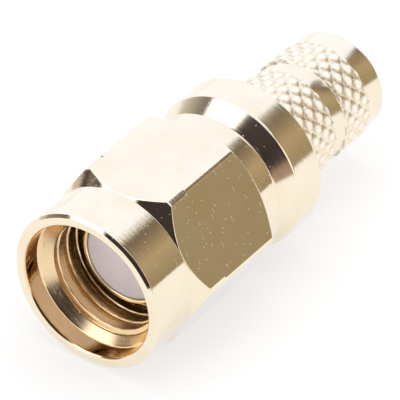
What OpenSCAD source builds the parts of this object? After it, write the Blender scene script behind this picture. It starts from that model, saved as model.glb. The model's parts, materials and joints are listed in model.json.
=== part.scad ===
// Gold-plated coaxial crimp plug with a free-turning hexagon coupling nut.
// Every piece is turned about one axis. The row axis is +Y, the mating mouth
// looks along -Y, and the plug lies with one flat of the hexagon down.
// The origin is on the axis in the mating reference plane, which is the front
// face of the outer conductor. Millimetres.

/* [Coupling nut] */
// Length of the nut
nut_len = 9.95; // [8.3:0.05:12]
// Depth of the mating reference plane below the nut's mouth
mouth_depth = 2.85; // [2.3:0.05:3.3]
// Hexagon size across its flats
across_flats = 8; // [7.8:0.1:10]
// How far the corners are turned down on the front stretch of the hexagon
corner_front_cut = 0.09; // [0.06:0.01:0.2]
// How far the corners are turned down on the rest of the hexagon
corner_cut = 0.05; // [0.02:0.01:0.06]
// Length of the front stretch of the hexagon
corner_front_len = 1.1; // [0.5:0.1:2]
// How far the round front part lies below the flats
front_drop = 0.02; // [0.01:0.01:0.2]
// Length of the round front part
front_len = 2.58; // [2.1:0.02:3.2]
// How far the round rear part lies below the flats
rear_drop = 0.25; // [0.1:0.01:0.3]
// Length of the round rear part
rear_len = 1.22; // [1:0.02:1.6]
// Slope of the front chamfer of the hexagon, from the axis
front_chamfer_deg = 38; // [30:1:60]
// Slope of the rear chamfer of the hexagon, from the axis
rear_chamfer_deg = 52; // [30:1:60]
// Least wall of the nut outside the retaining ring's room
nut_wall = 0.4; // [0.3:0.05:0.45]
// Edge break round the mouth, outside
mouth_break = 0.14; // [0.05:0.01:0.2]
// Radius of the rounded rear rim
rear_round = 0.22; // [0.1:0.02:0.3]

/* [Nut bore] */
// Diameter of the counterbore in the mouth
counterbore_dia = 6.8; // [6.5:0.05:7]
// Depth of the counterbore
counterbore_depth = 0.9; // [0.5:0.05:1.2]
// Edge break of the mouth, inside
lip_break = 0.1; // [0.05:0.01:0.15]
// Minor diameter of the 1/4-36 thread
thread_minor_dia = 5.6; // [5.5:0.02:5.7]
// Distance from the reference plane to the end of the thread
thread_end = 1.9; // [1.5:0.05:2]
// Length of the rear bore that turns on the barrel
lip_len = 2.1; // [1.5:0.05:2.6]

/* [Body] */
// Wall of the outer conductor's nose
nose_wall = 0.22; // [0.18:0.01:0.25]
// Length of the nose
nose_len = 2.2; // [2:0.05:2.5]
// Wall of the barrel below the ring groove
groove_wall = 0.26; // [0.2:0.01:0.35]
// Depth of the ring groove
groove_depth = 0.32; // [0.25:0.01:0.4]
// Length of the full diameter of the flange
flange_len = 1.75; // [1.4:0.05:2.5]
// How far the cone on the front of the flange rises
cone_rise = 0.5; // [0.3:0.05:0.6]
// Length of the cone
cone_len = 1; // [0.8:0.05:1.4]
// Edge break on the rear of the flange
flange_break = 0.12; // [0.05:0.01:0.2]

/* [Retaining ring] */
// How far the fitted ring stands out of the barrel
ring_stand = 0.22; // [0.15:0.01:0.3]
// Thickness of the ring along the axis
ring_len = 0.5; // [0.4:0.05:0.7]
// Opening of the split
ring_split = 1.2; // [0.8:0.1:2]

/* [Insulator] */
// Diameter of the bead inside the nose
bead_dia = 4.06; // [3.4:0.01:4.9]
// Height of the bead's shoulder
bead_step = 0.37; // [0.2:0.01:0.4]
// How far the bead's face lies behind the reference plane
bead_recess = 0.05; // [0:0.05:0.6]
// Thickness of the bead's closed face. At 0 the contact bore goes right through
face_web = 0.6; // [0:0.05:1]
// Distance from the reference plane to the bead's shoulder
bead_shoulder = 3.4; // [3:0.1:3.6]
// Length of the bead behind its shoulder
bead_rear_len = 2.75; // [2.4:0.05:3.2]
// Bore for the centre contact
contact_bore_dia = 1.3; // [1.2:0.02:1.4]

/* [Crimp stem] */
// Bore for the cable
cable_bore_dia = 4; // [3.4:0.05:4.8]
// Wall of the spigot that sits in the body
spigot_wall = 0.4; // [0.3:0.01:0.5]
// Wall of the stem below the roots of the knurl
stem_wall = 0.55; // [0.45:0.01:0.7]
// Depth of the knurl
knurl_depth = 0.19; // [0.1:0.01:0.22]
// Number of diamonds round the stem
knurl_count = 20; // [16:1:28]
// Length of half a diamond along the axis
knurl_row_len = 0.4; // [0.3:0.02:0.5]
// Half diamonds along the first band
front_band_rows = 8; // [6:1:10]
// Half diamonds along the second band
rear_band_rows = 5; // [4:1:7]
// How far the smooth stretches of the stem lie below the crests
land_drop = 0.14; // [0.1:0.01:0.16]
// Length of the smooth groove between the two bands
band_gap = 0.8; // [0.5:0.05:1.2]
// Length of the smooth land at the end
end_land_len = 1.2; // [1:0.05:2]
// Edge break at the end of the stem
stem_break = 0.14; // [0.05:0.01:0.16]

/* [Fits] */
// Radial running clearance between nut and barrel
run_gap = 0.05; // [0.02:0.01:0.1]
// Axial play of the nut at each of its two stops
nut_play = 0.1; // [0.05:0.01:0.2]
// Radial clearance of the pieces that are pressed together
seat_gap = 0.02; // [0.01:0.01:0.03]
// Clearance of the retaining ring in its groove, each side
ring_gap = 0.04; // [0.02:0.01:0.06]
// Radial clearance of the retaining ring inside the nut
relief_gap = 0.08; // [0.05:0.01:0.12]

/* [Hidden] */
$fn = 96;
eps = 0.01;

gold = "#E0B865";
deep_gold = "#CFA052";
spring_bronze = "#B98A4A";
ptfe = "#E4DEE8";

// Places along the axis, from the reference plane.
mouth_at = -mouth_depth;
nut_rear_at = mouth_at + nut_len;
lip_at = nut_rear_at - lip_len;
ring_rear_at = lip_at - nut_play;
ring_front_at = ring_rear_at - ring_len;
cone_at = nut_rear_at + nut_play;
flange_at = cone_at + cone_len;
flange_rear_at = flange_at + flange_len;
spigot_at = bead_shoulder + bead_rear_len;
front_band_at = flange_rear_at;
band_gap_at = front_band_at + front_band_rows * knurl_row_len;
rear_band_at = band_gap_at + band_gap;
end_land_at = rear_band_at + rear_band_rows * knurl_row_len;
stem_end_at = end_land_at + end_land_len;

// Diameters that follow from each other, from the inside out. The bead's rear
// and the stem's spigot share one bore, which is as wide as either needs.
nose_bore_dia = bead_dia + 2 * seat_gap;
nose_dia = nose_bore_dia + 2 * nose_wall;
seat_dia = max(cable_bore_dia + 2 * spigot_wall, bead_dia + 2 * bead_step);
body_bore_dia = seat_dia + 2 * seat_gap;
groove_dia = body_bore_dia + 2 * groove_wall;
barrel_dia = groove_dia + 2 * groove_depth;
ring_inner_dia = groove_dia + 2 * ring_gap;
ring_outer_dia = barrel_dia + 2 * ring_stand;
relief_dia = ring_outer_dia + 2 * relief_gap;
nut_bore_dia = barrel_dia + 2 * run_gap;
nut_size = max(across_flats, relief_dia + 2 * (nut_wall + rear_drop));
bar_corner_r = nut_size / 2 / cos(30);
flange_dia = nut_size;
knurl_root_dia = max(cable_bore_dia + 2 * stem_wall, body_bore_dia + 0.2);
knurl_dia = knurl_root_dia + 2 * knurl_depth;
land_dia = knurl_dia - 2 * land_drop;
core_dia = knurl_root_dia - 0.08;
sleeve_inner_dia = (core_dia + cable_bore_dia) / 2;

// Points of a quarter round from the outer edge (r, z) inwards and forwards.
function rim_round(r, z, radius, steps = 5) = [
    for (k = [0:steps])
        let (a = 90 * k / steps)
        [r - radius + radius * cos(a), z - radius + radius * sin(a)]
];

// A solid of revolution about the plug's axis from [radius, place] points.
module turned(points) {
    rotate([-90, 0, 0]) rotate_extrude() polygon(points);
}

// A plain cylinder on the plug's axis between two places.
module bar(dia, from, to) {
    rotate([-90, 0, 0]) translate([0, 0, from]) cylinder(d = dia, h = to - from);
}

// The hexagon bar that the nut is turned from, with flats up and down.
module hexagon_bar(from, to) {
    rotate([-90, 0, 0])
        translate([0, 0, from])
            cylinder(r = bar_corner_r, h = to - from, $fn = 6);
}

module nut_outside() {
    front_r = nut_size / 2 - front_drop;
    rear_r = nut_size / 2 - rear_drop;
    corner_front_r = bar_corner_r - corner_front_cut;
    corner_r = bar_corner_r - corner_cut;
    hexagon_at = mouth_at + front_len;
    hexagon_end = nut_rear_at - rear_len;
    step_at = hexagon_at + (corner_front_r - front_r) / tan(front_chamfer_deg) + corner_front_len;
    turned(concat(
        [
            [0, mouth_at],
            [front_r - mouth_break, mouth_at],
            [front_r, mouth_at + mouth_break],
            [front_r, hexagon_at],
            [corner_front_r, hexagon_at + (corner_front_r - front_r) / tan(front_chamfer_deg)],
            [corner_front_r, step_at],
            [corner_r, step_at + corner_r - corner_front_r],
            [corner_r, hexagon_end - (corner_r - rear_r) / tan(rear_chamfer_deg)],
            [rear_r, hexagon_end]
        ],
        rim_round(rear_r, nut_rear_at, rear_round),
        [[0, nut_rear_at]]
    ));
}

module nut_inside() {
    mouth_r = counterbore_dia / 2;
    minor_r = thread_minor_dia / 2;
    relief_r = relief_dia / 2;
    bore_r = nut_bore_dia / 2;
    lead_at = mouth_at + counterbore_depth;
    turned([
        [0, mouth_at - eps],
        [mouth_r + lip_break + eps, mouth_at - eps],
        [mouth_r + lip_break, mouth_at],
        [mouth_r, mouth_at + lip_break],
        [mouth_r, lead_at],
        [minor_r, lead_at + mouth_r - minor_r],
        [minor_r, thread_end - (relief_r - minor_r)],
        [relief_r, thread_end],
        [relief_r, lip_at],
        [bore_r, lip_at],
        [bore_r, nut_rear_at - lip_break],
        [bore_r + lip_break, nut_rear_at],
        [bore_r + lip_break, nut_rear_at + eps],
        [0, nut_rear_at + eps]
    ]);
}

module coupling_nut() {
    color(gold)
        difference() {
            intersection() {
                hexagon_bar(mouth_at, nut_rear_at);
                nut_outside();
            }
            nut_inside();
        }
}

// Split ring that snaps into the groove of the barrel. The split looks up.
module retaining_ring() {
    color(spring_bronze)
        difference() {
            bar(ring_outer_dia, ring_front_at, ring_rear_at);
            bar(ring_inner_dia, ring_front_at - eps, ring_rear_at + eps);
            translate([-ring_split / 2, ring_front_at - eps, 0])
                cube([ring_split, ring_len + 2 * eps, ring_outer_dia]);
        }
}

// Outer conductor: nose, barrel with the ring groove, cone and flange.
module body() {
    nose_r = nose_dia / 2;
    barrel_r = barrel_dia / 2;
    groove_r = groove_dia / 2;
    flange_r = flange_dia / 2;
    nose_break = 0.05;
    barrel_break = 0.2;
    color(deep_gold)
        difference() {
            turned([
                [0, 0],
                [nose_r - nose_break, 0],
                [nose_r, nose_break],
                [nose_r, nose_len],
                [barrel_r - barrel_break, nose_len],
                [barrel_r, nose_len + barrel_break],
                [barrel_r, ring_front_at - ring_gap],
                [groove_r, ring_front_at - ring_gap],
                [groove_r, ring_rear_at + ring_gap],
                [barrel_r, ring_rear_at + ring_gap],
                [barrel_r, cone_at],
                [flange_r - cone_rise, cone_at],
                [flange_r, flange_at],
                [flange_r, flange_rear_at - flange_break],
                [flange_r - flange_break, flange_rear_at],
                [0, flange_rear_at]
            ]);
            bar(nose_bore_dia, -eps, bead_shoulder + eps);
            bar(body_bore_dia, bead_shoulder, flange_rear_at + eps);
        }
}

// PTFE bead. Its shoulder stops it from sliding out of the nose, and its bore
// is open to the rear.
module insulator() {
    color(ptfe)
        difference() {
            union() {
                bar(bead_dia, bead_recess, bead_shoulder + eps);
                bar(seat_dia, bead_shoulder, spigot_at);
            }
            bar(contact_bore_dia, bead_recess + (face_web > 0 ? face_web : -eps), spigot_at + eps);
        }
}

// One band of diamond knurling as a sleeve. The outside is a grid of points,
// half a diamond apart both ways, that lie on the crests and on the roots by
// turns. Each cell is folded along the line that joins its two root points,
// so the folds are the crossing grooves and each crest is a low pyramid.
module knurl_band(from, rows) {
    columns = 2 * knurl_count;
    crest_r = knurl_dia / 2;
    root_r = knurl_root_dia / 2;
    outside = [
        for (j = [0:rows], i = [0:columns - 1])
            let (r = (i + j) % 2 == 0 ? crest_r : root_r, a = 360 * i / columns)
            [r * cos(a), r * sin(a), j * knurl_row_len]
    ];
    inside = [
        for (j = [0:1], i = [0:columns - 1])
            let (r = sleeve_inner_dia / 2, a = 360 * i / columns)
            [r * cos(a), r * sin(a), j * rows * knurl_row_len]
    ];
    first_inside = len(outside);
    last_ring = rows * columns;
    function out_at(i, j) = j * columns + i % columns;
    function in_at(i, j) = first_inside + j * columns + i % columns;
    cells = [
        for (j = [0:rows - 1], i = [0:columns - 1])
            let (a = out_at(i, j), b = out_at(i + 1, j), c = out_at(i + 1, j + 1), d = out_at(i, j + 1))
            each (i + j) % 2 == 0 ? [[a, d, b], [b, d, c]] : [[a, c, b], [a, d, c]]
    ];
    wall = [
        for (i = [0:columns - 1])
            each [[in_at(i, 0), in_at(i + 1, 0), in_at(i + 1, 1)], [in_at(i, 0), in_at(i + 1, 1), in_at(i, 1)]]
    ];
    front = [
        for (i = [0:columns - 1])
            let (a = out_at(i, 0), b = out_at(i + 1, 0), c = in_at(i + 1, 0), d = in_at(i, 0))
            each [[a, b, c], [a, c, d]]
    ];
    rear = [
        for (i = [0:columns - 1])
            let (a = last_ring + i, b = last_ring + (i + 1) % columns, c = in_at(i + 1, 1), d = in_at(i, 1))
            each [[a, c, b], [a, d, c]]
    ];
    rotate([-90, 0, 0])
        translate([0, 0, from])
            polyhedron(points = concat(outside, inside), faces = concat(cells, wall, front, rear));
}

// Tube that the braid is crimped on. Its plain spigot sits in the body and
// holds the bead in place.
module crimp_stem() {
    land_r = land_dia / 2;
    core_r = core_dia / 2;
    spigot_r = seat_dia / 2;
    bore_r = cable_bore_dia / 2;
    color(deep_gold)
        union() {
            turned([
                [bore_r, spigot_at],
                [spigot_r, spigot_at],
                [spigot_r, flange_rear_at],
                [core_r, flange_rear_at],
                [core_r, band_gap_at],
                [land_r, band_gap_at],
                [land_r, rear_band_at],
                [core_r, rear_band_at],
                [core_r, end_land_at],
                [land_r, end_land_at],
                [land_r, stem_end_at - stem_break],
                [land_r - stem_break, stem_end_at],
                [bore_r + stem_break, stem_end_at],
                [bore_r, stem_end_at - stem_break]
            ]);
            knurl_band(front_band_at, front_band_rows);
            knurl_band(rear_band_at, rear_band_rows);
        }
}

coupling_nut();
retaining_ring();
body();
insulator();
crimp_stem();
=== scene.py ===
"""Gold-plated coaxial crimp plug: the looks.

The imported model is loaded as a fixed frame. Each sub-assembly is a class that
holds its own sizes, builds its mesh as a grid of points round the plug's axis
and dresses it in a finish. The axis is +Y, the mouth of the nut looks along
-Y, and the plug lies with one flat of the hexagon on the floor.

Sizes in the classes are in millimetres; meshes are written in metres.
"""

import json
import logging
import math
from dataclasses import dataclass
from enum import Enum
from typing import Any, Callable, ClassVar, Optional, Sequence, Union

import bpy
import numpy as np
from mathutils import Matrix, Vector

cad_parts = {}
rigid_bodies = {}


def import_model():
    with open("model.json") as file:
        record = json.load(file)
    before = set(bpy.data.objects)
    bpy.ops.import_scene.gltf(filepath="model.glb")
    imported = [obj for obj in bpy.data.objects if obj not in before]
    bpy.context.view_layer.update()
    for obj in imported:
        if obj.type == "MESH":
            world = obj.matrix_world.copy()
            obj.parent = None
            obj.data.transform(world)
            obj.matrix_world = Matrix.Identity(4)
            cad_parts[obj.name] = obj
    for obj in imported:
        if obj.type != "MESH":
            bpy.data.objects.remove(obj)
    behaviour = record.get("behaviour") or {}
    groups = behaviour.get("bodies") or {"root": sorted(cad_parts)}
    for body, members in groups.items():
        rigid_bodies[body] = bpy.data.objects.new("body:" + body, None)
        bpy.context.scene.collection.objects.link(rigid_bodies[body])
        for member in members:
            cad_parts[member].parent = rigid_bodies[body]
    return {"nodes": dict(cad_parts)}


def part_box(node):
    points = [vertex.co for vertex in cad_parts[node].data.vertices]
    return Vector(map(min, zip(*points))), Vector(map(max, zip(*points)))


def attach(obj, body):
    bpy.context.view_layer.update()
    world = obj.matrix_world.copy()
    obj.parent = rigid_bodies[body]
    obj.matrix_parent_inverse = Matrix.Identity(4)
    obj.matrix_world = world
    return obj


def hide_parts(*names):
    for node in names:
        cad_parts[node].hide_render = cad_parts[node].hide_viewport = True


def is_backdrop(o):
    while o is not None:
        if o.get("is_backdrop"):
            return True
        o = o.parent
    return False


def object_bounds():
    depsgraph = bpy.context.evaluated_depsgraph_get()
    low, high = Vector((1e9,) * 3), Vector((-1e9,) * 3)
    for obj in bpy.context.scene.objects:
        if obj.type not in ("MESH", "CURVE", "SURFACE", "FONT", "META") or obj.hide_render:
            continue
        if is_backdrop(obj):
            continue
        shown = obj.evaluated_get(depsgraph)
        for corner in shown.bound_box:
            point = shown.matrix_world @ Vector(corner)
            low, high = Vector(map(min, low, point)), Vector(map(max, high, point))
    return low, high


LOG = logging.getLogger("coaxial_plug")
MM = 0.001  # one millimetre, in metres
HAIR = 0.0005  # how far meshes stay inside the CAD box, in millimetres
FULL_TURN = 2.0 * math.pi
CORNER_STEPS = 4  # how many pieces the curve at a corner is cut into
LEAST_ROUND = 0.004  # smallest rounding of a corner, in millimetres
SIDE_SHARE = 0.45  # largest share of a side that a rounding takes up

Array = np.ndarray
Colour = tuple[float, float, float]


class Body(Enum):
    """The two bodies that the pieces ride on."""

    PLUG = "plug"
    NUT = "nut"


# ---- Shapes ----


@dataclass(frozen=True)
class Extent:
    """The box of one CAD node, in millimetres."""

    low: Array
    high: Array

    @classmethod
    def of(cls, node: str) -> "Extent":
        """Read the box of a CAD node from the frame."""
        low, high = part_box(node)
        return cls(np.array(low) / MM, np.array(high) / MM)

    @property
    def front(self) -> float:
        """Place of the end nearest the mouth, along the axis."""
        return float(self.low[1])

    @property
    def rear(self) -> float:
        """Place of the end nearest the cable, along the axis."""
        return float(self.high[1])

    @property
    def half_height(self) -> float:
        """Half of the height, a hair less so that rounding keeps the mesh inside the box."""
        return float(min(self.high[2], -self.low[2])) - HAIR

    @property
    def half_width(self) -> float:
        """Half of the width, a hair less."""
        return float(min(self.high[0], -self.low[0])) - HAIR


@dataclass(frozen=True)
class Corner:
    """One corner of a turned profile.

    Attributes:
        radius: Distance from the axis, one number or one for each column.
        place: Place along the axis, one number or one for each column.
        round_by: How far back from the corner its rounding starts.
    """

    radius: Union[float, Array]
    place: Union[float, Array]
    round_by: float = 0.0


def add_object(name: str, data: bpy.types.ID) -> bpy.types.Object:
    """Add an object to the scene, at the origin.

    Args:
        name: Name of the object.
        data: Its mesh, lamp or camera.

    Returns:
        The new object.
    """
    made = bpy.data.objects.new(name, data)
    bpy.context.scene.collection.objects.link(made)
    return made


def even_angles(count: int) -> Array:
    """Return angles evenly spaced round a full turn."""
    return np.arange(count) * FULL_TURN / count


def rounded_rows(corners: Sequence[Corner], columns: int, steps: int = CORNER_STEPS) -> Array:
    """Turn the corners of a closed profile into small curves.

    A corner P between its neighbours A and B becomes the curve (1-t)^2 (P + s(A-P)) + 2t(1-t) P +
    t^2 (P + s(B-P)) for t from 0 to 1, where s is the rounding divided by the length of that side,
    and at most SIDE_SHARE.

    Args:
        corners: The corners in order round the closed profile.
        columns: How many columns the grid has.
        steps: How many pieces each curve is cut into.

    Returns:
        An array of rows by columns by (radius, place).
    """
    spread = [np.broadcast_arrays(c.radius, c.place, np.zeros(columns))[:2] for c in corners]
    keys = np.moveaxis(np.array(spread, dtype=float), 1, -1)
    reach = np.array([max(c.round_by, LEAST_ROUND) for c in corners])[:, None, None]
    to_last = np.roll(keys, 1, axis=0) - keys
    to_next = np.roll(keys, -1, axis=0) - keys
    last_len = np.maximum(np.linalg.norm(to_last, axis=-1, keepdims=True), 1e-9)
    next_len = np.maximum(np.linalg.norm(to_next, axis=-1, keepdims=True), 1e-9)
    start = keys + to_last * np.minimum(reach / last_len, SIDE_SHARE)
    end = keys + to_next * np.minimum(reach / next_len, SIDE_SHARE)
    t = np.linspace(0.0, 1.0, steps + 1)[None, :, None, None]
    curve = (1 - t) ** 2 * start[:, None] + 2 * t * (1 - t) * keys[:, None] + t**2 * end[:, None]
    return curve.reshape(-1, columns, 2)


def soft_min(first: Array, second: Union[float, Array], width: float) -> Array:
    """Return the lesser of two surfaces with the crease between them rounded.

    Where the two differ by less than the width w, the lesser is lowered by (w - difference)^2 / 4w,
    which joins them in a smooth curve.

    Args:
        first: One surface.
        second: The other surface.
        width: Difference below which the rounding starts.

    Returns:
        The rounded lesser surface.
    """
    gap = np.maximum(width - np.abs(first - second), 0.0)
    return np.minimum(first, second) - gap**2 / (4.0 * width)


def direction(azimuth: Any, elevation: Any) -> Array:
    """Turn azimuth A and elevation E into (sin A cos E, -cos A cos E, sin E).

    Args:
        azimuth: One azimuth or an array of them, in degrees.
        elevation: The elevations, in degrees.

    Returns:
        The unit vectors.
    """
    turn, rise = np.radians(azimuth), np.radians(elevation)
    parts = [np.sin(turn) * np.cos(rise), -np.cos(turn) * np.cos(rise), np.sin(rise)]
    return np.stack(parts, axis=-1)


def smooth_step(value: Array, low: float, high: float) -> Array:
    """Return 0 below low, 1 above high, and 3t^2 - 2t^3 between them."""
    t = np.clip((value - low) / (high - low), 0.0, 1.0)
    return t * t * (3.0 - 2.0 * t)


@dataclass
class TurnedGrid:
    """A closed surface round the plug's axis, as a grid of rows by columns.

    Rows follow the profile once round, outside towards the cable and inside back to the mouth.
    Columns go round the axis from +Z towards +X.

    Attributes:
        angles: The angle of each column.
        rows: Rows by columns by (radius, place), in millimetres.
    """

    angles: Array
    rows: Array

    def points(self) -> Array:
        """Return the points: x = radius sin a, y = place, z = radius cos a, in metres."""
        radius, place = self.rows[..., 0], self.rows[..., 1]
        return np.stack([radius * np.sin(self.angles), place, radius * np.cos(self.angles)], axis=-1) * MM

    def faces(self) -> list[Array]:
        """Join the points by faces that close on themselves both ways and point outwards.

        Returns:
            Arrays of faces by their corners.
        """
        count, columns = self.rows.shape[:2]
        index = np.arange(count * columns).reshape(count, columns)
        across = np.roll(index, -1, axis=1)
        along = np.roll(index, -1, axis=0)
        both = np.roll(along, -1, axis=1)
        return [np.stack([index, across, both, along], axis=-1).reshape(-1, 4)]

    def gather(self, area: Array) -> Array:
        """Add up the areas of the four faces round each point."""
        total = area + np.roll(area, 1, axis=0)
        return total + np.roll(total, 1, axis=1)

    def normals(self, points: Array) -> Array:
        """Average the faces' normals at each point, weighted by the faces' areas.

        The cross product of a face's two diagonals is its normal times twice its area, so the sum
        over the four faces round a point lets the broad faces stay flat and leaves all the bending
        to the narrow rounded edges.

        Args:
            points: The grid of points.

        Returns:
            One unit normal for each point.
        """
        across = np.roll(points, -1, axis=1)
        along = np.roll(points, -1, axis=0)
        both = np.roll(along, -1, axis=1)
        total = self.gather(np.cross(both - points, along - across))
        return total / np.maximum(np.linalg.norm(total, axis=-1, keepdims=True), 1e-30)

    def build(self, name: str) -> bpy.types.Object:
        """Make the mesh object, without points that no face uses.

        Args:
            name: Name of the piece.

        Returns:
            The new object, at the origin, in the scene.
        """
        points = self.points()
        normals = self.normals(points).reshape(-1, 3)
        points = points.reshape(-1, 3)
        faces = self.faces()
        used = np.unique(np.concatenate([part.reshape(-1) for part in faces]))
        short = np.zeros(len(points), dtype=np.int64)
        short[used] = np.arange(len(used))
        corners = [face for part in faces for face in short[part].tolist()]
        mesh = bpy.data.meshes.new(name)
        mesh.from_pydata(points[used].tolist(), [], corners)
        mesh.shade_smooth()
        mesh.validate()
        mesh.normals_split_custom_set_from_vertices(normals[used])
        return add_object(name, mesh)


class PoledGrid(TurnedGrid):
    """A closed surface whose first and last rows are each one point on the axis."""

    def faces(self) -> list[Array]:
        """Join the points by faces, with triangles round the poles.

        The rows keep their full length, and every corner on the first or last row is given that
        row's first point.

        Returns:
            Arrays of faces by their corners.
        """
        count, columns = self.rows.shape[:2]
        index = np.arange(count * columns).reshape(count, columns)
        index[0] = index[0, 0]
        index[-1] = index[-1, 0]
        across = np.roll(index, -1, axis=1)
        corners = [index[:-1], across[:-1], across[1:], index[1:]]
        quads = np.stack(corners, axis=-1).reshape(-1, 4)
        return [quads[:columns][:, [0, 2, 3]], quads[columns:-columns], quads[-columns:, :3]]

    def gather(self, area: Array) -> Array:
        """Add up the areas round each point, and over a whole row at a pole.

        Args:
            area: The faces' areas, as vectors.

        Returns:
            The sum for each point.
        """
        area[-1] = 0.0
        total = super().gather(area)
        total[0] = total[0].sum(axis=0)
        total[-1] = total[-1].sum(axis=0)
        return total


# ---- Shader maths ----


def math_node(operation: str, reflected: bool = False) -> Callable[["Link", "Value"], "Link"]:
    """Make a method of Link that adds a Math node.

    Args:
        operation: What the node does.
        reflected: Whether the other value comes first.

    Returns:
        The method.
    """

    def method(self: "Link", other: "Value" = 0.0) -> "Link":
        """Add the node on this value and the other."""
        pair = (other, self) if reflected else (self, other)
        return self.maker.node("Math", {"operation": operation}, dict(enumerate(pair)))

    return method


@dataclass(eq=False)
class Link:
    """The output of a shader node, which takes part in Python expressions."""

    maker: "MaterialMaker"
    socket: bpy.types.NodeSocket

    __add__ = math_node("ADD")
    __radd__ = math_node("ADD", reflected=True)
    __sub__ = math_node("SUBTRACT")
    __rsub__ = math_node("SUBTRACT", reflected=True)
    __mul__ = math_node("MULTIPLY")
    __rmul__ = math_node("MULTIPLY", reflected=True)
    __pow__ = math_node("POWER")
    __lt__ = math_node("LESS_THAN")
    size = math_node("ABSOLUTE")  # the value without its sign
    at_least = math_node("MAXIMUM")  # the greater of two values

    def twin(self, output: Union[str, int]) -> "Link":
        """Return another output of the same node."""
        return Link(self.maker, self.socket.node.outputs[output])

    def step(self, low: float, high: float) -> "Link":
        """Return 0 below low and 1 above high, with a smooth rise between them."""
        ends = {"Value": self, "From Min": low, "From Max": high}
        return self.maker.node("MapRange", {"interpolation_type": "SMOOTHSTEP"}, ends)


Value = Union[Link, float, Sequence[float]]


class MaterialMaker:
    """Builds one material's nodes."""

    def __init__(self, name: str) -> None:
        """Start an empty material.

        Args:
            name: Name of the material.
        """
        self.material = bpy.data.materials.new(name)
        self.material.use_nodes = True
        self.tree = self.material.node_tree
        self.tree.nodes.clear()

    def node(
        self,
        kind: str,
        settings: Optional[dict[str, Any]] = None,
        inputs: Optional[dict[Union[str, int], Value]] = None,
        output: Union[str, int] = 0,
    ) -> Optional[Link]:
        """Add a node.

        Args:
            kind: The node's type, less its leading ShaderNode.
            settings: Properties of the node, set before its sockets.
            inputs: Values or links for its sockets, by name or number.
            output: Which output to return.

        Returns:
            The chosen output, or nothing for a node without one.
        """
        made = self.tree.nodes.new("ShaderNode" + kind)
        for name, value in (settings or {}).items():
            setattr(made, name, value)
        for key, value in (inputs or {}).items():
            if isinstance(value, Link):
                self.tree.links.new(value.socket, made.inputs[key])
            else:
                made.inputs[key].default_value = value
        return Link(self, made.outputs[output]) if made.outputs else None

    def place(self) -> tuple[Link, Link, Link, Link]:
        """Read the place on the object, in millimetres.

        Returns:
            The x, y and z coordinates and the distance from the axis.
        """
        raw = self.node("TexCoord", output="Object")
        split = self.node("SeparateXYZ", inputs={0: raw})
        x, y, z = (split.twin(axis) * (1.0 / MM) for axis in range(3))
        radius = (x * x + z * z) ** 0.5
        return x, y, z, radius

    def vector(self, x: Value, y: Value, z: Value) -> Link:
        """Join three values into a vector."""
        return self.node("CombineXYZ", inputs={0: x, 1: y, 2: z})

    def noise(
        self, at: Link, scale: float, detail: float = 2.0, roughness: float = 0.5, extra: Value = 0.0
    ) -> Link:
        """Return smooth random values about 0.5, with finer layers; extra is a fourth coordinate."""
        inputs = {"Vector": at, "W": extra, "Scale": scale, "Detail": detail, "Roughness": roughness}
        return self.node("TexNoise", {"noise_dimensions": "4D"}, inputs)

    def specks(self, at: Link, scale: float, size: float, share: float) -> Link:
        """Scatter small marks, one in some of the cells of a random pattern.

        Args:
            at: The vector at which the pattern is read.
            scale: Cells in each unit of the vector.
            size: Radius of a mark, as a share of a cell.
            share: Share of the cells that have a mark.

        Returns:
            1 on a mark and 0 elsewhere, with soft edges.
        """
        near = self.node("TexVoronoi", {}, {"Vector": at, "Scale": scale}, "Distance")
        pick = self.node("SeparateColor", {}, {0: near.twin("Color")}, "Red")
        return (1.0 - near.step(size * 0.5, size)) * (pick < share)

    def mix(self, factor: Value, first: Value, second: Value) -> Link:
        """Mix two colours.

        Args:
            factor: Share of the second colour.
            first: One colour.
            second: The other colour.

        Returns:
            The mixed colour.
        """
        ends = {6: first, 7: second}
        ends = {key: end if isinstance(end, Link) else (*end, 1.0) for key, end in ends.items()}
        return self.node("Mix", {"data_type": "RGBA"}, {0: factor, **ends}, 2)

    def bump(self, height: Link, distance: float) -> Link:
        """Return a normal that follows a height, whose full range is a distance in metres."""
        return self.node("Bump", {}, {"Height": height, "Distance": distance})

    def glow(self, surface: Link) -> bpy.types.Material:
        """Finish a material that shines but isn't sampled as a lamp.

        Args:
            surface: The shader for its surface.

        Returns:
            The finished material.
        """
        self.node("OutputMaterial", {}, {"Surface": surface})
        self.material.cycles.emission_sampling = "NONE"
        return self.material

    def finish(self, inputs: dict[str, Value]) -> bpy.types.Material:
        """Add the surface shader and the output.

        Args:
            inputs: Values or links for the surface shader's sockets.

        Returns:
            The finished material.
        """
        surface = self.node("BsdfPrincipled", {}, inputs)
        self.node("OutputMaterial", {}, {"Surface": surface})
        return self.material


# ---- Finishes ----


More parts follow.
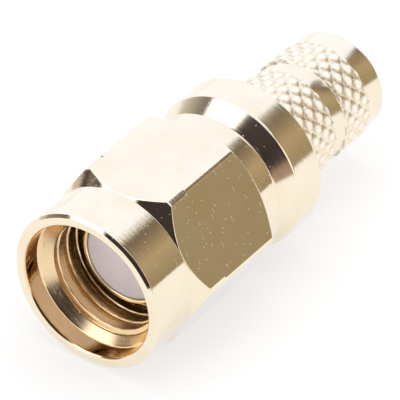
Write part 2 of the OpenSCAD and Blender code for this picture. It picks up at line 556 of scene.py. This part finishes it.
@dataclass(frozen=True)
class GoldPlate:
    """Polished gold plating over turned brass.

    Attributes:
        name: Name of the material.
        pale: Colour of clean plating.
        deep: Colour where the plating is a little thicker or older.
        inside: Colour of the plating inside a bore, deeper and redder, painted shade of the recess.
        inside_r: Radius up to which a surface is inside, or 0; the cut thread, further in, is satin.
        crest: Colour painted on the knurl's crests as a pale highlight.
        crest_r: Radius of the knurl's crests, or 0 without a knurl.
        crest_sheen: Share of the crests' metal swapped for pale matt colour, a painted highlight that the
            lamp lights white.
        roughness: Roughness of the clean plating.
        lines: Depth of the turning lines, in metres.
        flats: Half of the distance across the hexagon's flats, or 0 without them.
        speck_share: Share of the cells with a small pit.
        scratch_share: Share of the cells with a scratch.
    """

    name: str
    pale: Colour = (0.955, 0.82, 0.60)
    deep: Colour = (0.93, 0.775, 0.53)
    inside: Colour = (0.93, 0.68, 0.38)
    crest: Colour = (0.995, 0.93, 0.80)
    crest_r: float = 0.0
    crest_sheen: float = 0.75
    inside_r: float = 0.0
    roughness: float = 0.08
    lines: float = 3.4e-6
    flats: float = 0.0
    speck_share: float = 0.3
    scratch_share: float = 0.14

    def flat_mask(self, x: Link, z: Link) -> Link:
        """Return 1 on the hexagon's flats and 0 elsewhere.

        The mask is the greatest distance from the axis measured square to the three pairs of flats:
        only on a flat does it reach the hexagon's size.

        Args:
            x: Coordinate across the plug, in millimetres.
            z: Coordinate upwards, in millimetres.

        Returns:
            The mask.
        """
        half_x = x * math.sin(math.radians(60))
        half_z = z * 0.5
        reach = z.size().at_least((half_x + half_z).size()).at_least((half_x - half_z).size())
        return reach.step(self.flats - 0.012, self.flats - 0.004)

    def scratches(self, maker: MaterialMaker, at: Sequence[Link], barrel: Value) -> Link:
        """Scatter fine scratches, some round the axis and some aslant.

        The marks are thin round plates in space, so each shows as a short line where the surface
        cuts through it.

        Args:
            maker: The material's maker.
            at: The x, y and z coordinates, in millimetres.
            barrel: 1 where long scratches round the axis may lie, else 0.

        Returns:
            1 on a scratch and 0 elsewhere.
        """
        x, y, z = at
        share = self.scratch_share
        across = maker.specks(maker.vector(y * 8.0, x * 0.45, z * 0.45), 1.0, 0.09, share)
        arcs = maker.specks(maker.vector(y * 15.0, x * 0.42, z * 0.42), 1.0, 0.15, share * 0.6)
        aslant = maker.vector((x * 0.3 + y * 0.6 + z * 0.75) * 6.5, x * 0.5, (y - z) * 0.3)
        steep = maker.vector((x * 0.5 - y * 0.7 + z * 0.4) * 6.5, z * 0.5, (y + x) * 0.3)
        slanted = maker.specks(aslant, 1.0, 0.07, share * 0.7)
        steeper = maker.specks(steep, 1.0, 0.06, share * 0.7)
        return across.at_least(arcs * barrel).at_least(slanted).at_least(steeper)

    def material(self) -> bpy.types.Material:
        """Build the material.

        Returns:
            The finished material.
        """
        maker = MaterialMaker(self.name)
        x, y, z, radius = maker.place()
        turned = barrel = metal = 1.0
        if self.flats:
            turned = 1.0 - self.flat_mask(x, z)
            barrel = turned * (1.0 - radius.step(self.flats, self.flats + 0.05))
        along = maker.vector(y * 10.0, radius * 10.0, x * 0.45)
        fine = maker.noise(along, 1.0, 4.0, 0.7, z * 0.45)
        plain_at = maker.vector(x, y, z)
        mottle = maker.noise(plain_at, 0.55, 2.0)
        grain = maker.noise(plain_at, 9.0, 3.0, 0.6)
        pits = maker.specks(plain_at, 4.2, 0.13, self.speck_share)
        marks = pits.at_least(self.scratches(maker, (x, y, z), barrel))
        height = fine * turned + grain * 0.12 - marks * 1.3
        colour = maker.mix(mottle.step(0.3, 0.75), self.pale, self.deep)
        streak = (fine - 0.5) * 0.14 * turned
        rough = self.roughness + streak + (grain - 0.5) * 0.05 + marks * 0.3
        if self.inside_r:
            bore = 1.0 - radius.step(self.inside_r - 0.06, self.inside_r)
            # Painted shade: the plating inside the bore is mixed towards a deeper, redder gold.
            colour = maker.mix(bore, colour, self.inside)
            cut_thread = 1.0 - radius.step(self.inside_r - 0.22, self.inside_r - 0.14)
            rough = rough + cut_thread * 0.20
        if self.crest_r:
            knurled = radius.step(self.crest_r - 0.12, self.crest_r - 0.07)
            # Painted highlight: the crests get a pale colour and less metal, so they show white.
            crest_highlight = radius.step(self.crest_r - 0.06, self.crest_r - 0.01)
            colour = maker.mix(crest_highlight, colour, self.crest)
            rough = rough + knurled * 0.30
            metal = 1.0 - crest_highlight * self.crest_sheen
        normal = maker.bump(height, self.lines)
        return maker.finish({"Base Color": colour, "Metallic": metal, "Roughness": rough, "Normal": normal})


@dataclass(frozen=True)
class SpringBronze:
    """Bright spring wire, a little redder and duller than the plating."""

    name: str
    colour: Colour = (0.80, 0.52, 0.26)
    dark: Colour = (0.62, 0.37, 0.17)

    def material(self) -> bpy.types.Material:
        """Build the material.

        Returns:
            The finished material.
        """
        maker = MaterialMaker(self.name)
        x, y, z, radius = maker.place()
        drawn = maker.noise(maker.vector(y * 12.0, radius * 12.0, x * 0.5), 1.0, 2.0, 0.5, z * 0.5)
        mottle = maker.noise(maker.vector(x, y, z), 1.4, 3.0)
        return maker.finish(
            {
                "Base Color": maker.mix(mottle.step(0.35, 0.7), self.colour, self.dark),
                "Metallic": 1.0,
                "Roughness": 0.26 + (drawn - 0.5) * 0.2,
                "Normal": maker.bump(drawn, 3.0e-6),
            }
        )


@dataclass(frozen=True)
class WhitePlastic:
    """Turned PTFE: waxy, milky white, with faint turning rings."""

    name: str
    colour: Colour = (0.83, 0.77, 0.79)
    shade: Colour = (0.77, 0.70, 0.72)
    speck: Colour = (0.16, 0.13, 0.12)

    def material(self) -> bpy.types.Material:
        """Build the material.

        Returns:
            The finished material.
        """
        maker = MaterialMaker(self.name)
        x, y, z, radius = maker.place()
        rings = maker.noise(maker.vector(y * 9.0, radius * 9.0, x * 0.4), 1.0, 3.0, 0.55, z * 0.4)
        cloud = maker.noise(maker.vector(x, y, z), 0.9, 3.0)
        dust = maker.specks(maker.vector(x, y, z), 1.1, 0.045, 0.12)
        milky = maker.mix(cloud.step(0.3, 0.75), self.colour, self.shade)
        return maker.finish(
            {
                "Base Color": maker.mix(dust, milky, self.speck),
                "Roughness": 0.42 + (rings - 0.5) * 0.12,
                "Subsurface Weight": 0.25,
                "Subsurface Radius": (0.0006, 0.0006, 0.0006),
                "Subsurface Scale": 1.0,
                "IOR": 1.38,
                "Normal": maker.bump(rings, 2.0e-6),
            }
        )


# ---- Pieces ----


@dataclass
class Piece:
    """What the new pieces have in common: the CAD node they stand for, its slot and body.

    Attributes:
        extent: Box of the CAD node.
    """

    node: ClassVar[str]
    slot: ClassVar[str]
    body: ClassVar[Body] = Body.PLUG
    extent: Extent

    def fit(self, made: bpy.types.Object, finish: Any) -> bpy.types.Object:
        """Dress a new piece and put it in the place of its CAD node.

        Args:
            made: The new piece.
            finish: The finish it is dressed in.

        Returns:
            The same piece.
        """
        made.data.materials.append(finish.material())
        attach(made, self.body.value)
        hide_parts(self.node)
        LOG.info("%s: %d faces on body %s", made.name, len(made.data.polygons), self.body.value)
        return made


@dataclass
class CouplingNut(Piece):
    """The hexagon nut, with its mouth, counterbore and thread."""

    corner_front_cut: float = 0.04
    corner_front_len: float = 1.1
    front_drop: float = 0.02
    front_len: float = 2.58
    rear_drop: float = 0.25
    rear_len: float = 1.22
    front_chamfer_deg: float = 38.0
    rear_chamfer_deg: float = 52.0
    mouth_break: float = 0.14
    rear_round: float = 0.22
    counterbore_r: float = 3.4
    counterbore_depth: float = 0.9
    lip_break: float = 0.1
    thread_minor_r: float = 2.8
    thread_depth: float = 0.24
    thread_crest: float = 0.66
    thread_pitch: float = 25.4 / 36
    thread_end: float = 1.9
    thread_row: float = 0.032
    relief_r: float = 3.3
    lip_len: float = 2.1
    bore_r: float = 3.05
    thread_root: float = 1.02
    thread_blend: float = 0.05
    edge: float = 0.07
    eased: float = 0.03
    sharp: float = 0.015
    crease: float = 0.022
    node: ClassVar[str] = "coupling_nut"
    slot: ClassVar[str] = "nut_gold"
    body: ClassVar[Body] = Body.NUT

    def columns(self) -> Array:
        """Space the columns, close together at the six corners and evenly between them.

        Returns:
            The angle of each column.
        """
        near = np.array([0.0, 0.35, 0.65, 0.9, 1.1, 1.3, 1.55, 1.8, 2.03, 2.3, 2.6, 3.1])
        near = np.concatenate([-near[:0:-1], near])
        between = np.linspace(near[-1], 60.0 - near[-1], 43)[1:-1]
        sixth = np.concatenate([near, between])
        turn = (sixth[None, :] + 60.0 * np.arange(6)[:, None] + 30.0).reshape(-1)
        return np.radians(np.sort(turn % 360.0))

    def flat_reach(self, angles: Array) -> Array:
        """Return the distance to the hexagon's flats: half its size over cos of the angle from a flat."""
        off = (np.degrees(angles) + 30.0) % 60.0 - 30.0
        return self.extent.half_height / np.cos(np.radians(off))

    def outside(self, angles: Array) -> list[Corner]:
        """Return the corners of the outer profile, from the mouth to the rear rim.

        The turned outline is cut off by the flats: on each column a chamfer runs only until its
        radius reaches the lesser of the flat's distance and the corner's turned radius.

        Args:
            angles: The angle of each column.

        Returns:
            The corners.
        """
        mouth, rear = self.extent.front, self.extent.rear
        front_r = self.extent.half_height - self.front_drop
        rear_r = self.extent.half_height - self.rear_drop
        corner_r = self.extent.half_width
        flat = self.flat_reach(angles)
        front_reach = soft_min(flat, corner_r - self.corner_front_cut, self.crease)
        reach = soft_min(flat, corner_r, self.crease)
        hexagon_at = mouth + self.front_len
        hexagon_end = rear - self.rear_len
        front_slope = math.tan(math.radians(self.front_chamfer_deg))
        rear_slope = math.tan(math.radians(self.rear_chamfer_deg))
        top_r = corner_r - self.corner_front_cut
        step_at = hexagon_at + (top_r - front_r) / front_slope + self.corner_front_len
        return [
            Corner(front_r - self.mouth_break, mouth, self.eased),
            Corner(front_r, mouth + self.mouth_break, self.eased),
            Corner(front_r, hexagon_at, self.sharp),
            Corner(front_reach, hexagon_at + (front_reach - front_r) / front_slope, self.edge),
            Corner(front_reach, step_at, self.sharp),
            Corner(reach, step_at + self.corner_front_cut, self.sharp),
            Corner(reach, hexagon_end - (reach - rear_r) / rear_slope, self.edge),
            Corner(rear_r, hexagon_end, self.sharp),
            Corner(rear_r, rear, self.rear_round),
        ]

    def thread(self, angles: Array) -> Array:
        """Return the rows of the thread, from its inner end to the counterbore.

        The thread's phase is the place over the pitch less the angle in turns, so it climbs to the
        right. The wave is half of 1 less the cosine of the phase; below the crest share the crest
        stays flat, and above it the groove falls and rises smoothly. The radius is the greatest of
        the thread and of the two cones that it runs out into.

        Args:
            angles: The angle of each column.

        Returns:
            Rows by columns by (radius, place).
        """
        lead_at = self.extent.front + self.counterbore_depth
        count = int((self.thread_end - lead_at) / self.thread_row)
        place = np.linspace(self.thread_end, lead_at, count)[1:-1, None]
        phase = place / self.thread_pitch - angles[None, :] / FULL_TURN
        wave = 0.5 - 0.5 * np.cos(FULL_TURN * phase)
        groove = smooth_step(wave, self.thread_crest, self.thread_root)
        radius = self.thread_minor_r + self.thread_depth * groove
        rear_cone = self.relief_r - (self.thread_end - place)
        front_cone = self.counterbore_r - (place - lead_at)
        radius = -soft_min(-radius, -np.maximum(rear_cone, front_cone), self.thread_blend)
        return np.stack(np.broadcast_arrays(radius, place), axis=-1)

    def grid(self) -> TurnedGrid:
        """Return the whole closed surface.

        Returns:
            The grid.
        """
        angles = self.columns()
        mouth, rear = self.extent.front, self.extent.rear
        lead_at = mouth + self.counterbore_depth
        lip_at = rear - self.lip_len
        outside = self.outside(angles)
        inside = [
            Corner(self.bore_r + self.lip_break, rear, self.eased),
            Corner(self.bore_r, rear - self.lip_break, self.eased),
            Corner(self.bore_r, lip_at, self.eased),
            Corner(self.relief_r, lip_at, self.eased),
            Corner(self.relief_r, self.thread_end, self.eased),
        ]
        lead = [
            Corner(self.counterbore_r, lead_at, self.eased),
            Corner(self.counterbore_r, mouth + self.lip_break, self.edge),
            Corner(self.counterbore_r + self.lip_break, mouth, self.edge),
        ]
        rows = rounded_rows(outside + inside + lead, len(angles))
        cut = (len(outside) + len(inside)) * (CORNER_STEPS + 1)
        return TurnedGrid(angles, np.concatenate([rows[:cut], self.thread(angles), rows[cut:]]))

    def make(self) -> bpy.types.Object:
        """Build and dress the nut.

        Returns:
            The nut.
        """
        # inside_r also sets where the painted shade inside the bore reaches.
        finish = GoldPlate(
            "Gold plate on the nut",
            flats=self.extent.half_height,
            inside_r=self.counterbore_r + self.lip_break,
            roughness=0.06,
            speck_share=0.6,
            scratch_share=0.5,
        )
        return self.fit(self.grid().build("hexagon_nut"), finish)


@dataclass
class OuterBody(Piece):
    """The outer conductor: nose, barrel with the ring's groove, cone and flange.

    Attributes:
        ring: Box of the retaining ring.
        nut_rear: Place of the nut's rear rim.
    """

    ring: Extent
    nut_rear: float
    nose_bore_r: float = 2.05
    nose_r: float = 2.27
    nose_len: float = 2.2
    nose_round: float = 0.09
    barrel_r: float = 3.0
    groove_r: float = 2.68
    ring_gap: float = 0.04
    nut_gap: float = 0.1
    cone_rise: float = 0.5
    cone_len: float = 1.0
    flange_break: float = 0.12
    barrel_round: float = 0.2
    cone_round: float = 0.08
    eased: float = 0.03
    sharp: float = 0.02
    bead_shoulder: float = 3.4
    bore_r: float = 2.42
    columns: int = 216
    steps: int = 6
    node: ClassVar[str] = "body"
    slot: ClassVar[str] = "body_gold"

    def profile(self) -> list[Corner]:
        """Set out the closed profile, from the nose to the rear and back inside.

        Returns:
            The corners.
        """
        front, rear = self.extent.front, self.extent.rear
        flange_r = self.extent.half_height
        cone_front = self.nut_rear + self.nut_gap
        groove_front = self.ring.front - self.ring_gap
        groove_rear = self.ring.rear + self.ring_gap
        return [
            Corner(self.nose_r, front, self.nose_round),
            Corner(self.nose_r, self.nose_len, self.eased),
            Corner(self.barrel_r, self.nose_len, self.barrel_round),
            Corner(self.barrel_r, groove_front, self.sharp),
            Corner(self.groove_r, groove_front, self.sharp),
            Corner(self.groove_r, groove_rear, self.sharp),
            Corner(self.barrel_r, groove_rear, self.sharp),
            Corner(self.barrel_r, cone_front, self.eased),
            Corner(flange_r - self.cone_rise, cone_front, self.cone_round),
            Corner(flange_r, cone_front + self.cone_len, self.cone_round),
            Corner(flange_r, rear, self.flange_break),
            Corner(self.bore_r, rear, self.eased),
            Corner(self.bore_r, self.bead_shoulder, self.sharp),
            Corner(self.nose_bore_r, self.bead_shoulder, self.sharp),
            Corner(self.nose_bore_r, front, self.nose_round),
        ]

    def make(self) -> bpy.types.Object:
        """Build and dress the body.

        Returns:
            The body.
        """
        rows = rounded_rows(self.profile(), self.columns, self.steps)
        finish = GoldPlate("Gold plate on the body", roughness=0.13, speck_share=0.3)
        return self.fit(TurnedGrid(even_angles(self.columns), rows).build("outer_body"), finish)


@dataclass
class CrimpStem(Piece):
    """The stem that the braid is crimped on, with two bands of diamond knurling.

    Attributes:
        flange_rear: Place of the flange's rear face, where the knurl starts.
    """

    flange_rear: float
    bore_r: float = 2.0
    spigot_r: float = 2.4
    land_r: float = 2.6
    crest_r: float = 2.74
    knurl_depth: float = 0.085
    crest_flat: float = 0.3
    pit: float = 0.5
    knurl_count: int = 20
    row_len: float = 0.4
    front_rows: int = 8
    rear_rows: int = 5
    band_gap: float = 0.8
    stem_break: float = 0.14
    valley: float = 1.1
    pit_reach: tuple[float, float] = (0.45, 0.95)
    band_rise: float = 0.09
    eased: float = 0.03
    sharp: float = 0.02
    fine_across: int = 12
    fine_along: int = 6
    node: ClassVar[str] = "crimp_stem"
    slot: ClassVar[str] = "stem_gold"

    def knurl(self, angles: Array, start: float, half_cells: int) -> Array:
        """Return the rows of one band of diamonds.

        With u the angle in diamonds and v the place in diamonds, two sets of grooves run where u+v
        and u-v are half way between whole numbers. A is 1 in a groove of the first set and 0
        between two of them, and B the same for the second, so D = sqrt(A^2 + B^2) is a round
        distance from the middle of a diamond. The height falls smoothly from a flat round crest to
        the floor as D grows, and a small pit lies where two grooves cross.

        Args:
            angles: The angle of each column.
            start: Place where the band starts.
            half_cells: Length of the band in half diamonds.

        Returns:
            Rows by columns by (radius, place).
        """
        count = half_cells * self.fine_along
        length = half_cells * self.row_len
        place = start + np.linspace(0.0, length, count + 1)[:, None]
        u = angles[None, :] * self.knurl_count / FULL_TURN
        v = (place - start) / (2.0 * self.row_len)
        first = 2.0 * np.abs((u + v + 0.5) % 1.0 - 0.5)
        second = 2.0 * np.abs((u - v + 0.5) % 1.0 - 0.5)
        round_off = np.sqrt(first**2 + second**2)
        dome = 1.0 - smooth_step(round_off, self.crest_flat, self.valley)
        dome = dome - self.pit * smooth_step(first * second, *self.pit_reach)
        from_end = np.minimum(place - start, start + length - place)
        ends = smooth_step(from_end, 0.0, self.band_rise)
        height = self.crest_r - self.knurl_depth * (1.0 - dome)
        radius = self.land_r + (height - self.land_r) * ends
        return np.stack(np.broadcast_arrays(radius, place), axis=-1)

    def make(self) -> bpy.types.Object:
        """Build and dress the stem.

        Returns:
            The stem.
        """
        columns = self.knurl_count * self.fine_across
        angles = even_angles(columns)
        front, rear = self.extent.front, self.extent.rear
        front_band = self.knurl(angles, self.flange_rear, self.front_rows)
        groove_at = self.flange_rear + self.front_rows * self.row_len
        rear_band_at = groove_at + self.band_gap
        rear_band = self.knurl(angles, rear_band_at, self.rear_rows)
        corners = [
            Corner(self.bore_r, front, self.eased),
            Corner(self.spigot_r, front, self.eased),
            Corner(self.spigot_r, self.flange_rear - 0.01, self.sharp),
            Corner(self.land_r, rear, self.stem_break),
            Corner(self.bore_r, rear, self.stem_break),
        ]
        rows = rounded_rows(corners, columns)
        cut = 3 * (CORNER_STEPS + 1)
        grid = np.concatenate([rows[:cut], front_band, rear_band, rows[cut:]])
        # crest_r also turns on the painted highlight on the knurl's crests.
        finish = GoldPlate(
            "Gold plate on the crimp stem", crest_r=self.crest_r, roughness=0.14, speck_share=0.15
        )
        return self.fit(TurnedGrid(angles, grid).build("knurled_stem"), finish)


@dataclass
class Insulator(Piece):
    """The PTFE bead, with its plain face, its shoulder and the contact's bore behind."""

    bead_r: float = 2.03
    shoulder_at: float = 3.4
    bore_r: float = 0.65
    face_web: float = 0.6
    face_round: float = 0.07
    eased: float = 0.04
    sharp: float = 0.02
    columns: int = 144
    node: ClassVar[str] = "insulator"
    slot: ClassVar[str] = "ptfe"

    def profile(self) -> list[Corner]:
        """Set out the profile, from the middle of the face to the middle of the bore's end.

        Returns:
            The corners.
        """
        front, rear = self.extent.front, self.extent.rear
        outer_r = self.extent.half_height
        return [
            Corner(0.0, front),
            Corner(self.bead_r, front, self.face_round),
            Corner(self.bead_r, self.shoulder_at, self.sharp),
            Corner(outer_r, self.shoulder_at, self.eased),
            Corner(outer_r, rear, self.eased),
            Corner(self.bore_r, rear, self.eased),
            Corner(self.bore_r, front + self.face_web, self.eased),
            Corner(0.0, front + self.face_web),
        ]

    def make(self) -> bpy.types.Object:
        """Build and dress the bead.

        The rounded rows of the two corners on the axis are left out, and one row of radius 0 stands
        in the place of each.

        Returns:
            The bead.
        """
        corners = self.profile()
        rows = rounded_rows(corners, self.columns)
        skip = CORNER_STEPS + 1
        ends = [np.broadcast_to([0.0, c.place], (1, self.columns, 2)) for c in (corners[0], corners[-1])]
        rows = np.concatenate([ends[0], rows[skip:-skip], ends[1]])
        grid = PoledGrid(even_angles(self.columns), rows)
        return self.fit(grid.build("ptfe_bead"), WhitePlastic("PTFE"))


def dress_ring(node: bpy.types.Object) -> None:
    """Give the retaining ring, whose CAD shape is right, its finish.

    Args:
        node: The ring's CAD object.
    """
    finish = SpringBronze("Spring bronze").material()
    node.data.materials.clear()
    node.data.materials.append(finish)
    LOG.info("retaining_ring: CAD node kept, dressed in %s", finish.name)


# ---- Studio ----


def soft_side(inside: Array, soft: float) -> Array:
    """Return 0 well outside an edge and 1 well inside it, with a smooth rise of a given width."""
    return smooth_step(inside, -soft / 2.0, soft / 2.0)


@dataclass(frozen=True)
class Panel:
    """A soft-edged panel of the light tent.

    Attributes:
        azimuth: First and last azimuth, in degrees, as seen from the plug.
        elevation: Elevation of its foot and of its top, in degrees.
        foot: Light at its foot.
        top: Light at its top.
        soft: Width of its soft sides and top, in degrees.
        lean: How far its top rises for each degree of azimuth past the first.
    """

    azimuth: tuple[float, float]
    elevation: tuple[float, float]
    foot: Colour
    top: Colour
    soft: tuple[float, float] = (3.0, 3.0)
    lean: float = 0.0
    foot_soft: ClassVar[float] = 2.0

    def paint(self, light: Array, azimuth: Array, elevation: Array) -> Array:
        """Lay the panel over the tent.

        Its light runs evenly from foot to top, and it is mixed in by how far a direction lies
        inside its sides, foot and top.

        Args:
            light: Light of the tent so far, for each direction.
            azimuth: Azimuth of each direction, in degrees.
            elevation: Elevation of each direction, in degrees.

        Returns:
            The tent's light with the panel.
        """
        first, last = self.azimuth
        middle = (first + last) / 2.0
        turn = (azimuth - middle + 180.0) % 360.0 - 180.0
        half = (last - first) / 2.0
        foot_at, top_at = self.elevation
        top_at = top_at + self.lean * (turn + half)
        cover = soft_side(half - np.abs(turn), self.soft[0])
        cover = cover * soft_side(top_at - elevation, self.soft[1])
        cover = cover * soft_side(elevation - foot_at, self.foot_soft)
        rise = np.clip((elevation - foot_at) / np.maximum(top_at - foot_at, 1.0), 0.0, 1.0)[..., None]
        own = np.array(self.foot) * (1.0 - rise) + np.array(self.top) * rise
        return light + (own - light) * cover[..., None]


@dataclass(frozen=True)
class RoundFlag:
    """A round flag of the light tent.

    Attributes:
        towards: Azimuth and elevation of its middle, in degrees.
        radius: Its radius, in degrees.
        soft: Width of its soft edge, in degrees.
        light: The light that it gives off.
    """

    towards: tuple[float, float]
    radius: float
    soft: float
    light: Colour

    def paint(self, light: Array, azimuth: Array, elevation: Array) -> Array:
        """Lay the flag over the tent.

        The product of two unit vectors is the cosine of the angle between them.

        Args:
            light: Light of the tent so far, for each direction.
            azimuth: Azimuth of each direction, in degrees.
            elevation: Elevation of each direction, in degrees.

        Returns:
            The tent's light with the flag.
        """
        cosine = direction(azimuth, elevation) @ direction(*self.towards)
        away = np.degrees(np.arccos(np.clip(cosine, -1.0, 1.0)))
        cover = soft_side(self.radius - away, self.soft)[..., None]
        return light + (np.array(self.light) - light) * cover


@dataclass
class LightTent:
    """The white tent that the plating mirrors, with its panels and its flags.

    Only mirror reflections see it: the camera, the floor and the shadows don't.

    Attributes:
        centre: Centre of the plug, in metres.
        distance: Distance of the tent, in metres.
        parts: Panels and flags, each laid over the ones before it.
    """

    centre: Vector
    distance: float = 0.5
    parts: tuple[Union[Panel, RoundFlag], ...] = (
        Panel((-180, 180), (50, 120), (1.05, 1.14, 1.4), (1.05, 1.14, 1.4), (1, 2)),
        Panel((165, 262), (-5, 80), (1.06, 1.17, 1.47), (1.05, 1.15, 1.42), (10, 20)),
        Panel((-102, 2), (24, 120), (1.8, 1.9, 2.15), (1.5, 1.6, 1.9), (8, 3)),
        Panel((88, 108), (-5, 52), (1.3, 1.3, 1.4), (1.3, 1.3, 1.4), (6, 6)),
        Panel((108, 171), (-5, 26), (0.30, 0.26, 0.18), (0.48, 0.39, 0.26), (9, 2)),
        Panel((108, 171), (25, 48.2), (0.48, 0.39, 0.26), (0.14, 0.115, 0.105), (9, 4)),
        Panel((74, 89), (-5, 28), (0.40, 0.29, 0.24), (0.30, 0.22, 0.18)),
        Panel((-106, -54), (-5, 48), (0.76, 0.74, 0.72), (0.10, 0.085, 0.085), (5, 4), -0.35),
        Panel((-78, -54), (6, 31), (0.34, 0.29, 0.25), (0.13, 0.10, 0.085), (8, 4)),
        Panel((-84.5, -79), (8, 25), (0.06, 0.045, 0.045), (0.06, 0.045, 0.045), (2, 3)),
        RoundFlag((41, 36), 39, 6, (0.04, 0.032, 0.038)),
        RoundFlag((35, 56), 27, 5, (0.05, 0.042, 0.045)),
    )

    def build(self) -> None:
        """Build the tent as part of a sphere, with its light held at its points.

        A point lies at the distance from the centre, in the direction of its azimuth and elevation,
        one degree apart.
        """
        azimuth, elevation = np.meshgrid(np.linspace(-180.0, 180.0, 361), np.linspace(-3.0, 90.0, 94))
        light = np.ones((*azimuth.shape, 3))
        for part in self.parts:
            light = part.paint(light, azimuth, elevation)
        way = direction(azimuth, elevation)
        points = (np.array(self.centre) + way * self.distance).reshape(-1, 3)
        index = np.arange(len(points)).reshape(azimuth.shape)
        quads = np.stack([index[:-1, :-1], index[1:, :-1], index[1:, 1:], index[:-1, 1:]], axis=-1)
        mesh = bpy.data.meshes.new("Light tent")
        mesh.from_pydata(points.tolist(), [], quads.reshape(-1, 4).tolist())
        glow = mesh.color_attributes.new("light", "FLOAT_COLOR", "POINT")
        full = np.concatenate([light, np.ones((*azimuth.shape, 1))], axis=-1)
        glow.data.foreach_set("color", full.reshape(-1).astype(np.float32))
        tent = add_object("Light tent", mesh)
        maker = MaterialMaker("Light tent")
        held = maker.node("Attribute", {"attribute_name": "light"}, output="Color")
        mesh.materials.append(maker.glow(maker.node("Emission", {}, {"Color": held})))
        tent.visible_camera = tent.visible_diffuse = tent.visible_shadow = False
        tent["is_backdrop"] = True


@dataclass
class Studio:
    """Floor, light tent and camera.

    Attributes:
        low: Lowest corner of the plug, in metres.
        high: Highest corner of the plug, in metres.
    """

    low: Vector
    high: Vector
    lamp_height: float = 0.45
    lamp_size: float = 0.36
    lamp_light: float = 1.4
    floor_half: float = 3.0
    floor_colour: Colour = (0.95, 0.95, 0.955)
    floor_glow: float = 0.6
    floor_glint: Colour = (0.96, 1.03, 1.20)
    azimuth: float = 35.56
    elevation: float = 37.25
    lens: float = 423.2
    aim_from_mouth: tuple[float, float, float] = (0.1, 8.65, -0.1)
    camera_distance: float = 215.1

    @property
    def centre(self) -> Vector:
        """Return the middle of the plug's box."""
        return (self.low + self.high) / 2

    def floor(self) -> None:
        """Build the plain pale floor that the plug lies on.

        The camera sees the matt floor mixed with plain white, which keeps the plug's shadow but
        makes it lighter. The plating mirrors it a little cooler, as it does the tent.
        """
        half = self.floor_half
        corners = [(-half, -half), (half, -half), (half, half), (-half, half)]
        mesh = bpy.data.meshes.new("Floor")
        mesh.from_pydata([(x, y, self.low.z) for x, y in corners], [], [(0, 1, 2, 3)])
        floor = add_object("Floor", mesh)
        maker = MaterialMaker("Pale floor")
        matt = maker.node("BsdfDiffuse", {}, {"Color": (*self.floor_colour, 1.0)})
        seen = maker.node("LightPath", output="Is Camera Ray")
        glint = seen.twin("Is Glossy Ray")
        glow = maker.mix(glint, (1.0, 1.0, 1.0), self.floor_glint)
        white = maker.node("Emission", {}, {"Color": glow})
        seen = seen.at_least(glint).at_least(seen.twin("Is Transmission Ray"))
        mixed = maker.node("MixShader", {}, {0: seen * self.floor_glow, 1: matt, 2: white})
        mesh.materials.append(maker.glow(mixed))
        floor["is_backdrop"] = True

    def lamp(self) -> None:
        """Hang a soft round lamp straight above the plug; its power is its light times pi times its area."""
        light = bpy.data.lights.new("Overhead softbox", "AREA")
        light.shape = "DISK"
        light.size = self.lamp_size
        light.energy = self.lamp_light * math.pi * (math.pi * (light.size / 2.0) ** 2)
        lamp = add_object("Overhead softbox", light)
        lamp.location = self.centre + Vector((0.0, 0.0, self.lamp_height))
        lamp.visible_camera = lamp.visible_glossy = False

    def world(self) -> None:
        """Light the scene with an even white surround."""
        world = bpy.data.worlds.new("White surround")
        world.use_nodes = True
        background = world.node_tree.nodes["Background"]
        background.inputs["Color"].default_value = (1.0, 1.0, 1.0, 1.0)
        bpy.context.scene.world = world

    def camera(self) -> None:
        """Place the camera and make it the scene's camera."""
        away = Vector(direction(self.azimuth, self.elevation))
        data = bpy.data.cameras.new("Camera")
        data.lens = self.lens
        data.sensor_width = 36.0
        data.clip_start = 0.01
        data.clip_end = 20.0
        camera = add_object("Camera", data)
        aim = Vector(self.aim_from_mouth) + Vector((0.0, self.low.y / MM, 0.0))
        camera.location = (aim + away * self.camera_distance) * MM
        camera.rotation_mode = "QUATERNION"
        camera.rotation_quaternion = (-away).to_track_quat("-Z", "Y")
        bpy.context.scene.camera = camera

    def build(self) -> None:
        """Build the whole studio."""
        self.floor()
        self.lamp()
        self.world()
        self.camera()
        tent = LightTent(self.centre)
        tent.build()
        bpy.context.scene.view_settings.view_transform = "Standard"
        LOG.info("studio: floor, softbox, tent of %d parts and camera", len(tent.parts))


def clear_scene() -> None:
    """Remove everything that Blender starts with."""
    bpy.data.batch_remove(bpy.data.objects)


def main() -> None:
    """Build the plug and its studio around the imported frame."""
    logging.basicConfig(level=logging.INFO, format="%(message)s")
    clear_scene()
    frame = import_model()
    cad_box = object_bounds()
    ring = Extent.of("retaining_ring")
    body = Extent.of("body")
    nut = Extent.of("coupling_nut")
    CouplingNut(nut).make()
    OuterBody(body, ring, nut.rear).make()
    CrimpStem(Extent.of("crimp_stem"), body.rear).make()
    Insulator(Extent.of("insulator")).make()
    dress_ring(frame["nodes"]["retaining_ring"])
    Studio(*cad_box).build()


if __name__ == "__main__":
    main()
